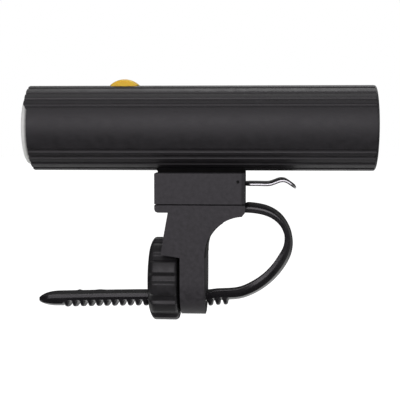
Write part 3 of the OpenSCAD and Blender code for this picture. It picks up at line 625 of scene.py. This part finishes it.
def close_tree(tree, shape, material, name):
    """Ends a tree: its instances are made real and get their finish."""
    solid = add_node(tree, "GeometryNodeRealizeInstances", {"Geometry": shape})
    coat = {"Geometry": solid.outputs["Geometry"], "Material": material}
    coated = add_node(tree, "GeometryNodeSetMaterial", coat)
    add_node(tree, "NodeGroupOutput", {name: coated.outputs["Geometry"]})
    return tree


def set_on_points(tree, points, pattern, turn):
    """Copies of a pattern on points, each with its turn."""
    shape = add_node(tree, "GeometryNodeObjectInfo", {"Object": pattern}).outputs["Geometry"]
    inputs = {"Points": points, "Instance": shape, "Rotation": turn}
    return add_node(tree, "GeometryNodeInstanceOnPoints", inputs).outputs["Instances"]


def screw_set_tree(screw, material):
    """Sets one screw on every point of a mesh, each turned further than the last."""
    tree, sizes = new_tree("screw_set", ("Points", "Turn"), ("Screws",), ("Points", "Screws"))
    index = add_node(tree, "GeometryNodeInputIndex").outputs[0]
    angle = figure(tree, "MULTIPLY", index, sizes["Turn"])
    spun = add_node(tree, "ShaderNodeCombineXYZ", {"Z": angle}).outputs[0]
    placed = set_on_points(tree, sizes["Points"], screw, spun)
    return close_tree(tree, placed, material, "Screws")


def run_tree(piece, tree, sizes):
    """Runs a tree on a piece with its named sizes and keeps the plain mesh."""
    made = piece.modifiers.new(tree.name, "NODES")
    made.node_group = tree
    for item in tree.interface.items_tree:
        if item.in_out == "INPUT" and item.name in sizes:
            made[item.identifier] = sizes[item.name]
    plain_mesh(piece)


def screw_set(name, points, head_r, head_h, shank_r, length):
    """A set of like screws, heads down, at the points."""
    mesh = bpy.data.meshes.new(name)
    mesh.from_pydata(points, [], [])
    screws = put_in_scene(name, mesh)
    pattern = screw_pattern(head_r, head_h, shank_r, length)
    run_tree(screws, screw_set_tree(pattern, screw_steel), {"Turn": 0.9})
    bpy.data.objects.remove(pattern)
    return screws


screws_low, screws_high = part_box("rail_screws")
head_r = (screws_high.y - screws_low.y) / 2
head_h = 0.0009
shank_r = 0.001
rail_screws = screw_set(
    "rail_screw_pair",
    [(screws_low.x + head_r, 0, screws_low.z), (screws_high.x - head_r, 0, screws_low.z)],
    head_r, head_h, shank_r, screws_high.z - screws_low.z,
)
stand_for(rail_screws, "lamp", "bright_steel", "rail_screws")


# Socket and keeper pin
# A moulded block with a T-shaped slide for the rail and a channel for the spring. Its
# skin has the fine spark-eroded grain of the mould; a blackened pin crosses its rear.
bracket_nylon = grained_finish(
    "bracket_nylon", (0.025, 0.0235, 0.026), (0.044, 0.0415, 0.0458),
    grain=3600, mottle=820, bump=0.00003, rough=(0.54, 0.68), specular=0.42, lint=70,
)
socket_edge = 0.00022
seam_h = 0.00036
slide_socket = softened_copy(
    "socket_block", "slide_socket", socket_edge, bracket_nylon, rail_plastic
)
# The lowest band of the block's sides takes the near-black rail finish: a painted shadow line in
# the seam between block and plate.
seam_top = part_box("socket_block")[0].z + seam_h
for face in slide_socket.data.polygons:
    if face.center.z < seam_top and abs(face.normal.z) < 0.5:
        face.material_index = 1
stand_for(slide_socket, "bracket", "bracket_plastic", "socket_block")
dress("keeper_pin", metal_finish(
    "pin_black", (0.012, 0.012, 0.012), (0.02, 0.02, 0.02), 2600, (0.5, 0.65),
))


# Release spring
# A strip of spring steel, bent down into the socket at its front. Behind the socket it
# widens to a thumb tab with a rolled end; a punched catch on it locks the rail.
spring_low, spring_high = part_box("release_spring")
spring_t = 0.0007
spring_mid = 0.02125
tab_half = (spring_high.y - spring_low.y) / 2
strip_half = 0.004
tab_start = 0.0005
root_x = spring_low.x + spring_t / 2
bend_x = spring_high.x - 0.0073
centre_line = [
    (root_x, spring_low.z),
    (root_x, spring_mid - 0.0016),
    (root_x + 0.0003, spring_mid - 0.0004),
    (root_x + 0.0012, spring_mid),
    (spring_low.x + 0.006, spring_mid),
    (-0.008, spring_mid),
    (tab_start, spring_mid),
    (0.004, spring_mid),
    (bend_x - 0.0006, spring_mid),
    (bend_x + 0.0012, spring_mid + 0.00055),
    (bend_x + 0.0024, spring_mid + 0.00102),
    (bend_x + 0.0036, spring_mid + 0.00115),
    (bend_x + 0.0046, spring_mid + 0.00088),
    (bend_x + 0.0058, spring_mid + 0.0001),
    (bend_x + 0.0073, spring_mid - 0.00098),
]


def eased_line(points, parts):
    """Points on a smooth line through the given ones."""
    line = []
    for i in range(len(points) - 1):
        p0 = Vector(points[max(i - 1, 0)])
        p1 = Vector(points[i])
        p2 = Vector(points[i + 1])
        p3 = Vector(points[min(i + 2, len(points) - 1)])
        reach = (p2 - p1).length
        m1 = (p2 - p0).normalized() * reach
        m2 = (p3 - p1).normalized() * reach
        for k in range(parts):
            t = k / parts
            line.append(
                p1 * (2 * t ** 3 - 3 * t ** 2 + 1) + m1 * (t ** 3 - 2 * t ** 2 + t)
                + p2 * (3 * t ** 2 - 2 * t ** 3) + m2 * (t ** 3 - t ** 2)
            )
    line.append(Vector(points[-1]))
    return line


strip = eased_line(centre_line, 8)
columns = 17
corner_r = 0.0016
tab_margin = 0.0001
tip_x = strip[-1].x
rows = []
for point in strip:
    half = strip_half
    if point.x > tab_start - tab_margin:
        half = tab_half
        from_end = min(point.x - tab_start + tab_margin, tip_x - point.x)
        if from_end < corner_r:
            rounded = corner_r ** 2 - (corner_r - from_end) ** 2
            half = tab_half - corner_r + math.sqrt(max(rounded, 0.0))
    rows.append([
        (point.x, half * (2 * k / (columns - 1) - 1), point.y) for k in range(columns)
    ])
spring_leaf = skinned("spring_leaf", rows, round_rows=False)
sheet = spring_leaf.modifiers.new("strip_thickness", "SOLIDIFY")
sheet.thickness = spring_t
sheet.offset = 0.0
sheet.material_offset_rim = 1
eased = spring_leaf.modifiers.new("sheared_edge", "BEVEL")
eased.width = 0.00005
eased.segments = 2
eased.angle_limit = math.radians(50)
spring_steel = metal_finish(
    "spring_steel", (0.36, 0.36, 0.37), (0.48, 0.48, 0.49), 3600, (0.24, 0.38),
)
# The leaf's two faces get a darker steel than its cut edges.
tempered_blue = metal_finish(
    "tempered_blue", (0.1, 0.1, 0.103), (0.19, 0.19, 0.193), 3600, (0.42, 0.58),
)
spring_leaf.data.materials.append(tempered_blue)
spring_leaf.data.materials.append(spring_steel)
stand_for(spring_leaf, "release_spring", "bright_steel", "release_spring")

catch_x0, catch_x1 = -0.00825, -0.00505
catch_half = 0.0026
catch_sink = 0.00005
catch_h = 0.0013
catch_nose = 0.0005
catch_z = spring_mid + spring_t / 2 - catch_sink
catch_top = catch_z + catch_h
catch_points = [
    (catch_x0, catch_z), (catch_x1, catch_z),
    (catch_x1, catch_top), (catch_x1 - catch_nose, catch_top),
]
catch_mesh = bpy.data.meshes.new("spring_catch")
catch_mesh.from_pydata(
    [(x, side * catch_half, z) for side in (-1, 1) for x, z in catch_points],
    [],
    [(0, 1, 2, 3), (7, 6, 5, 4), (0, 4, 5, 1), (1, 5, 6, 2), (2, 6, 7, 3), (3, 7, 4, 0)],
)
catch_mesh.materials.append(spring_steel)
spring_catch = put_in_scene("spring_catch", catch_mesh)
eased = spring_catch.modifiers.new("punched_edge", "BEVEL")
eased.width = 0.00012
eased.segments = 2
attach(spring_catch, "release_spring")


# Bracket, its screws and the saddle pad
# One nylon moulding: a plate under the socket, a saddle that sits on the handlebar, and
# a leg with a hood over the knob and a round lower end that the strap passes through.
# Near black and matte: painted shade on the spigot and the leg's face beside the knob, where the
# gap between leg and knob lies in shadow.
greased_face = grained_finish(
    "greased_face", (0.003, 0.003, 0.003), (0.006, 0.006, 0.006),
    grain=2000, mottle=300, bump=0.00001, rough=(0.8, 0.95), specular=0.05,
)
bracket_edge = 0.00025
leg_front = -0.01925
spigot_reach = 0.0029
face_margin = 0.00002
saddle_bracket = softened_copy(
    "bracket_body", "saddle_bracket", bracket_edge, bracket_nylon, greased_face
)
for face in saddle_bracket.data.polygons:
    beside_knob = leg_front - spigot_reach < face.center.x < leg_front + face_margin
    if beside_knob and face.center.z < 0.0 and face.normal.x < 0.3:
        face.material_index = 1
stand_for(saddle_bracket, "bracket", "bracket_plastic", "bracket_body")
screws_low, screws_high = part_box("bracket_screws")
head_r = 0.00165
head_h = 0.001
front_x = screws_low.x + head_r
rear_x = screws_high.x - head_r
rear_y = screws_high.y - head_r
front_y = rear_y * 0.707 / 0.74
front_step = 0.00075
front_z = screws_low.z + front_step
plate_top = screws_high.z
front_screws = screw_set(
    "front_plate_screws", [(front_x, side * front_y, front_z) for side in (-1, 1)],
    head_r, head_h, shank_r, plate_top - screws_low.z - front_step,
)
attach(front_screws, "bracket")
rear_screws = screw_set(
    "rear_plate_screws", [(rear_x, side * rear_y, screws_low.z) for side in (-1, 1)],
    head_r, head_h, shank_r, plate_top - screws_low.z,
)
stand_for(rear_screws, "bracket", "bright_steel", "bracket_screws")
pad_edge = 0.0002
bar_pad = softened_copy("saddle_pad", "bar_pad", pad_edge, cover_rubber)
stand_for(bar_pad, "bracket", "black_rubber", "saddle_pad")


# Knob
# A moulded ring nut with twelve finger grooves. It turns on the leg's short spigot, and
# the thread in its bore draws the strap's teeth along.
knob_low, knob_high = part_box("clamp_knob")
knob_axis = -0.0084
knob_r = 0.0129
knob_back = knob_high.x
thread_r = 0.0089
spigot_r = 0.00988
spigot_x = -0.02175
rim_x = knob_low.x + 0.0009
knob_outline = [
    (thread_r, rim_x - 0.0003),
    (thread_r + 0.0003, rim_x - 0.00058),
    (knob_r - 0.0026, rim_x - 0.00042),
    (knob_r - 0.0018, rim_x - 0.00014),
    (knob_r - 0.0011, rim_x + 0.00016),
    (knob_r - 0.0006, rim_x + 0.0005),
    (knob_r - 0.0002, rim_x + 0.0009),
    (knob_r, rim_x + 0.0014),
    (knob_r, rim_x + 0.003),
    (knob_r, rim_x + 0.005),
    (knob_r, knob_back - 0.0009),
    (knob_r - 0.00015, knob_back - 0.00045),
    (knob_r - 0.0006, knob_back - 0.0001),
    (knob_r - 0.001, knob_back),
    (spigot_r + 0.0004, knob_back),
    (spigot_r + 0.0001, knob_back - 0.0001),
    (spigot_r, knob_back - 0.0004),
    (spigot_r, spigot_x),
    (thread_r, spigot_x),
]
groove_count = 12
knob_ring = turned_piece("knob_ring", knob_outline, groove_count * 26, knob_axis, closed=True)


def finger_groove_tree(material):
    """Presses evenly spaced finger grooves into a turned rim."""
    names = (
        "Rim", "Grooves", "Depth", "Half width", "Flat", "First", "Rim radius", "Still radius",
        "Axis height",
    )
    tree, sizes = new_tree("finger_grooves", names, ("Grip",), ("Rim", "Grip"))

    def sum_of(operation, *values):
        return figure(tree, operation, *values)

    place = add_node(tree, "GeometryNodeInputPosition").outputs[0]
    axes = add_node(tree, "ShaderNodeSeparateXYZ", {0: place}).outputs
    across = axes["Y"]
    up = sum_of("SUBTRACT", axes["Z"], sizes["Axis height"])
    squares = sum_of("ADD", sum_of("MULTIPLY", across, across), sum_of("MULTIPLY", up, up))
    radius = sum_of("SQRT", squares)
    angle = sum_of("SUBTRACT", sum_of("ARCTAN2", up, across), sizes["First"])
    pitch = sum_of("DIVIDE", 2 * math.pi, sizes["Grooves"])
    whole_turns = 40.5
    turn = sum_of("FRACT", sum_of("ADD", sum_of("DIVIDE", angle, pitch), whole_turns))
    aside = sum_of("ABSOLUTE", sum_of("MULTIPLY", sum_of("SUBTRACT", turn, 0.5), pitch))
    reach = sum_of("MULTIPLY", aside, sizes["Rim radius"])
    hollow = ramp(tree, reach, sizes["Flat"], sizes["Half width"], 1.0, 0.0)
    outer = ramp(tree, radius, sizes["Still radius"], sizes["Rim radius"], style="LINEAR")
    share = sum_of("DIVIDE", sizes["Depth"], radius)
    press = sum_of("MULTIPLY", sum_of("MULTIPLY", hollow, outer), share)
    shift = add_node(tree, "ShaderNodeCombineXYZ", {
        "Y": sum_of("MULTIPLY", sum_of("MULTIPLY", across, press), -1.0),
        "Z": sum_of("MULTIPLY", sum_of("MULTIPLY", up, press), -1.0),
    })
    inputs = {"Geometry": sizes["Rim"], "Offset": shift.outputs[0]}
    moved = add_node(tree, "GeometryNodeSetPosition", inputs)
    return close_tree(tree, moved.outputs["Geometry"], material, "Grip")


knob_nylon = grained_finish(
    "knob_nylon", (0.0122, 0.0118, 0.0127), (0.0178, 0.017, 0.0185),
    grain=3600, mottle=520, bump=0.000016, rough=(0.44, 0.56), specular=0.45,
)
run_tree(knob_ring, finger_groove_tree(knob_nylon), {
    "Grooves": float(groove_count), "Depth": 0.00085, "Half width": 0.00185, "Flat": 0.0007,
    "First": math.radians(171.6), "Rim radius": knob_r, "Still radius": 0.0102,
    "Axis height": knob_axis,
})
stand_for(knob_ring, "knob", "knob_plastic", "clamp_knob")

thread_pitch = 0.00242
thread_x = -0.02896
thread_turns = 2
thread_steps = 48
root_half, crown_half = 0.00064, 0.00034
ridge_root_r, ridge_crown_r = 0.00915, 0.00742
thread_profile = (
    (-root_half, ridge_root_r), (root_half, ridge_root_r),
    (crown_half, ridge_crown_r), (-crown_half, ridge_crown_r),
)
rows = []
for step in range(thread_turns * thread_steps + 1):
    a = 2 * math.pi * step / thread_steps
    x = thread_x + thread_pitch * step / thread_steps
    rows.append([
        (x + dx, r * math.cos(a), knob_axis + r * math.sin(a)) for dx, r in thread_profile
    ])
knob_thread = skinned("knob_thread", rows, capped=True, smooth_strips=0)
knob_thread.data.materials.append(knob_nylon)
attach(knob_thread, "knob")


# Strap
# A moulded strap of soft black plastic, flat inside and round outside. Its root hooks
# into the bracket, its loop goes round the handlebar, and its toothed tail runs through
# the knob to a smooth tip. The flat side has two small gate marks.
flat_z = -0.01275
flat_drop = 0.00435
strap_half = 0.004
root_r = 0.007
crest_r = 0.00865
tail_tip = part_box("strap_tail")[0].x
tail_root_r = 0.0072
loop_crown_r = 0.0095
side_round = 0.00025
side_lean = 0.00013
lean_depth = 0.00115
first_tooth = -0.05515
loop_x0 = -0.00809
loop_r1, loop_r2, loop_r3 = 0.02147, 0.00897, 0.02343
sweep_1, sweep_2 = math.radians(63.6), math.radians(104.4)
anchor_z = 0.01245
bead_x = -0.0043
free_from, free_len, tip_droop = -0.0305, 0.033, 0.00085
lift_x, lift_reach, lift_half = -0.007, 0.0065, 0.00026
tip_round = 0.006


def tail_droop(x):
    """How far the free tail hangs below the knob's line."""
    free = max(free_from - x, 0.0) / free_len
    return -tip_droop * free ** 1.25


def leg_lift(x):
    """How far the strap stands up where it comes out of the leg towards the loop."""
    return lift_half * (1 + math.cos(math.pi * max(-1.0, min((x - lift_x) / lift_reach, 1.0))))


def strap_route():
    """Points of X, Z and heading along the strap's flat side, from the tip to the root."""
    tip_end = tail_tip + tip_round
    tip_steps = 14
    stations = 110
    route = [
        tail_tip + tip_round * (1 - math.cos(math.pi / 2 * i / tip_steps))
        for i in range(tip_steps)
    ]
    route += [tip_end + (loop_x0 - tip_end) * i / stations for i in range(stations + 1)]
    step = 1e-5
    points = []
    for x in route:
        slope = (tail_droop(x + step) - tail_droop(x - step)) / (2 * step)
        points.append((x, flat_z + tail_droop(x) + leg_lift(x), math.atan(slope)))
    x, z, heading = loop_x0, flat_z, 0.0
    for radius, sweep, parts in (
        (loop_r1, sweep_1, 20), (loop_r2, sweep_2, 36), (loop_r3, math.pi - sweep_1 - sweep_2, 8)
    ):
        for i in range(1, parts + 1):
            a = heading + sweep * i / parts
            along = x + radius * (math.sin(a) - math.sin(heading))
            up = z + radius * (math.cos(heading) - math.cos(a))
            points.append((along, up + (leg_lift(along) if up < 0 else 0.0), a))
        x += radius * (math.sin(heading + sweep) - math.sin(heading))
        z += radius * (math.cos(heading) - math.cos(heading + sweep))
        heading += sweep
    for i in range(1, 6):
        points.append((x + (bead_x - x) * i / 5, anchor_z, math.pi))
    return points


# Heading in degrees, and how much fuller the loop is there, inward and outward
fullness = (
    (0, 0.0002, 0.0002), (7, 0.0002, 0.0002), (30, 0.00036, 0.00024), (60, 0.0003, 0.0002),
    (80, -0.0001, 0.0001), (100, -0.0003, 0.0), (122, -0.00036, 0.0001), (140, -0.0002, 0.00028),
    (160, 0.0, 0.0003), (172, 0.0, 0.00036), (180, 0.0, 0.0004),
)


def strap_swell(heading):
    """How much fuller the moulded loop is than its plain section, inward and outward."""
    turn = math.degrees(heading)
    for (a, in_a, out_a), (b, in_b, out_b) in zip(fullness, fullness[1:]):
        if turn <= b + 1e-6:
            t = (turn - a) / (b - a)
            return in_a + (in_b - in_a) * t, out_a + (out_b - out_a) * t
    return 0.0, 0.0


def within(value):
    """A share kept from 0 to 1."""
    return min(max(value, 0.0), 1.0)


def strap_roll(x, heading, on_tail):
    """Slope of the flat side across the strap, which leans back a little beyond the leg."""
    full_slope = 0.085
    tail_start, tail_run = -0.012, 0.003
    loop_end, loop_run = 105, 40
    if on_tail:
        share = within((x - tail_start) / tail_run)
    else:
        share = within((loop_end - math.degrees(heading)) / loop_run)
    return full_slope * share * share * (3 - 2 * share)


def strap_draft(x, heading, on_tail):
    """How far the sides lean in towards the flat side; they stand upright beside the leg."""
    tail_end, tail_run = -0.02, 0.004
    loop_start, start_run, loop_end, end_run = 20, 15, 85, 20
    loop_share = 1.3
    if on_tail:
        return side_lean * within((tail_end - x) / tail_run)
    turn = math.degrees(heading)
    leaning = within((turn - loop_start) / start_run) * within((loop_end - turn) / end_run)
    return side_lean * loop_share * leaning


def strap_crown(heading, on_tail):
    """Radius of the round outside, which is flatter on the loop than on the toothed tail."""
    share = 0.0 if on_tail else min(math.degrees(heading) / 30, 1.0)
    return tail_root_r + (loop_crown_r - tail_root_r) * share


# Place along X, width and height of each gate mark
gate_marks = ((-0.0523, 0.0005, 0.0003), (-0.0458, 0.0012, 0.00014))
gate_y, gate_half = 0.0038, 0.0008
nose_len = 0.0062
nose_depth = 0.0014
tail_rise = 0.0002
tip_depth = crest_r - 0.00045 - flat_drop
smooth_end = first_tooth - 0.0013
step_run = 0.0006
least_side = 0.0001


def strap_section(x, on_tail, inward, outward, roll, draft, crown):
    """The strap's outline as (depth below the flat side, across) at one station."""
    half = strap_half
    top = -inward
    low = (tail_root_r if on_tail else root_r) - flat_drop + outward + strap_half * roll
    mark = 0.0
    if on_tail:
        from_tip = x - tail_tip
        if from_tip < strap_half:
            rounded = strap_half ** 2 - (strap_half - from_tip) ** 2
            half = math.sqrt(max(rounded, 0.0)) * 0.995 + 0.00005
        blunt = math.sqrt(1 - (1 - min(from_tip / nose_len, 1.0)) ** 2)
        top = nose_depth * (1 - blunt) - tail_rise * blunt
        full = tip_depth
        if x > smooth_end:
            full += (low - tip_depth) * min((x - smooth_end) / step_run, 1.0)
        low = nose_depth + 0.00003 + (full - nose_depth) * blunt
        mark = max(rise * math.exp(-((x - place) / wide) ** 2) for place, wide, rise in gate_marks)
    corner = min(side_round, half * 0.3, (low - top) * 0.3)
    widest = min(lean_depth, (low - top) * 0.6)
    draft = min(draft, half * 0.2)
    side = []
    for k in range(1, 7):
        a = math.pi / 2 * k / 6
        side.append((top + corner * (1 - math.cos(a)), half - draft - corner * (1 - math.sin(a))))
    for share in (0.12, 0.88, 1.0):
        side.append((top + corner + (widest - corner) * share, half - draft * (1 - share)))
    outline = []
    for k in range(11):
        y = (half - draft - corner) * (k / 5 - 1)
        outline.append((top - mark * math.exp(-((y - gate_y) / gate_half) ** 2), y))
    outline += side
    for k in range(1, 20):
        y = half * math.cos(math.pi * k / 20)
        depth = low - crown + math.sqrt(crown ** 2 - y * y)
        outline.append((max(depth, top + widest + least_side), y))
    outline += [(d, -y) for d, y in reversed(side)]
    return [(d + (y - strap_half) * roll, y) for d, y in outline]


rows = []
for x, z, heading in strap_route():
    on_tail = x < loop_x0 - 1e-6 and z < 0
    in_socket = x < 0.0001 and z > 0
    swell = (0.0, 0.0) if on_tail or in_socket else strap_swell(heading)
    roll = 0.0 if in_socket else strap_roll(x, heading, on_tail)
    draft = strap_draft(x, heading, on_tail)
    crown = strap_crown(heading, on_tail)
    section = strap_section(x, on_tail, *swell, roll, draft, crown)
    rows.append([(x + d * math.sin(heading), y, z - d * math.cos(heading)) for d, y in section])
clamp_strap = skinned("clamp_strap", rows, capped=True)
strap_black = grained_finish(
    "strap_black", (0.0095, 0.009, 0.0103), (0.014, 0.0132, 0.015),
    grain=1500, mottle=220, bump=0.000006, rough=(0.22, 0.3),
)
clamp_strap.data.materials.append(strap_black)


def tooth_pattern():
    """One rounded, slightly slanted tooth of the strap, about the strap's flat side."""
    slant = math.tan(math.radians(2.8))
    profile = (
        (-0.00108, -0.0003), (-0.001, 0.0), (-0.0008, 0.16), (-0.00064, 0.5), (-0.00053, 0.82),
        (-0.00036, 0.96), (0.0, 1.0), (0.00036, 0.96), (0.00053, 0.82), (0.00064, 0.5),
        (0.0008, 0.16), (0.001, 0.0), (0.00108, -0.0003),
    )
    rows = []
    spans = 14
    for i in range(spans + 1):
        y = strap_half * 0.985 * math.sin(math.pi / 2 * (2 * i / spans - 1))
        base = math.sqrt(tail_root_r ** 2 - y * y) - flat_drop
        top = math.sqrt(crest_r ** 2 - y * y) - flat_drop
        lean = max(0.05, min(1.0, (1.0 - abs(y) / strap_half) / 0.3 + 0.2))
        row = []
        for dx, share in profile:
            rise = share * (top - base) * lean if share > 0 else share
            row.append((dx * (0.7 + 0.3 * lean) + slant * y, y, -(base + rise)))
        rows.append(row)
    return skinned("tooth_pattern", rows, capped=True, smooth_strips=len(profile) - 1)


def tooth_row_tree(tooth, material):
    """Sets teeth one pitch apart along a line, each square to it."""
    tree, sizes = new_tree("tooth_row", ("Line", "Pitch"), ("Teeth",), ("Line", "Teeth"))
    line = add_node(tree, "GeometryNodeMeshToCurve", {"Mesh": sizes["Line"]}).outputs["Curve"]
    spacing = {"Curve": line, "Length": sizes["Pitch"]}
    spaced = add_node(tree, "GeometryNodeCurveToPoints", spacing, mode="LENGTH").outputs
    squared = add_node(
        tree, "FunctionNodeAlignRotationToVector", {"Vector": spaced["Tangent"]},
        axis="X", pivot_axis="Y",
    )
    placed = set_on_points(tree, spaced["Points"], tooth, squared.outputs["Rotation"])
    return close_tree(tree, placed, material, "Teeth")


line_steps = 240
line_pitches = 20.35
tooth_line = []
for step in range(line_steps + 1):
    x = first_tooth + line_pitches * thread_pitch * step / line_steps
    if x <= loop_x0:
        tooth_line.append((x, 0.0, flat_z + tail_droop(x) + leg_lift(x)))
    else:
        a = (x - loop_x0) / loop_r1
        along = loop_x0 + loop_r1 * math.sin(a)
        tooth_line.append((along, 0.0, flat_z + loop_r1 * (1 - math.cos(a)) + leg_lift(along)))
teeth_mesh = bpy.data.meshes.new("strap_teeth")
teeth_mesh.from_pydata(tooth_line, [(i, i + 1) for i in range(line_steps)], [])
strap_teeth = put_in_scene("strap_teeth", teeth_mesh)
tooth = tooth_pattern()
run_tree(strap_teeth, tooth_row_tree(tooth, strap_black), {"Pitch": thread_pitch})
bpy.data.objects.remove(tooth)

for piece in (clamp_strap, strap_teeth):
    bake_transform(piece)
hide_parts("strap_loop", "strap_tail")
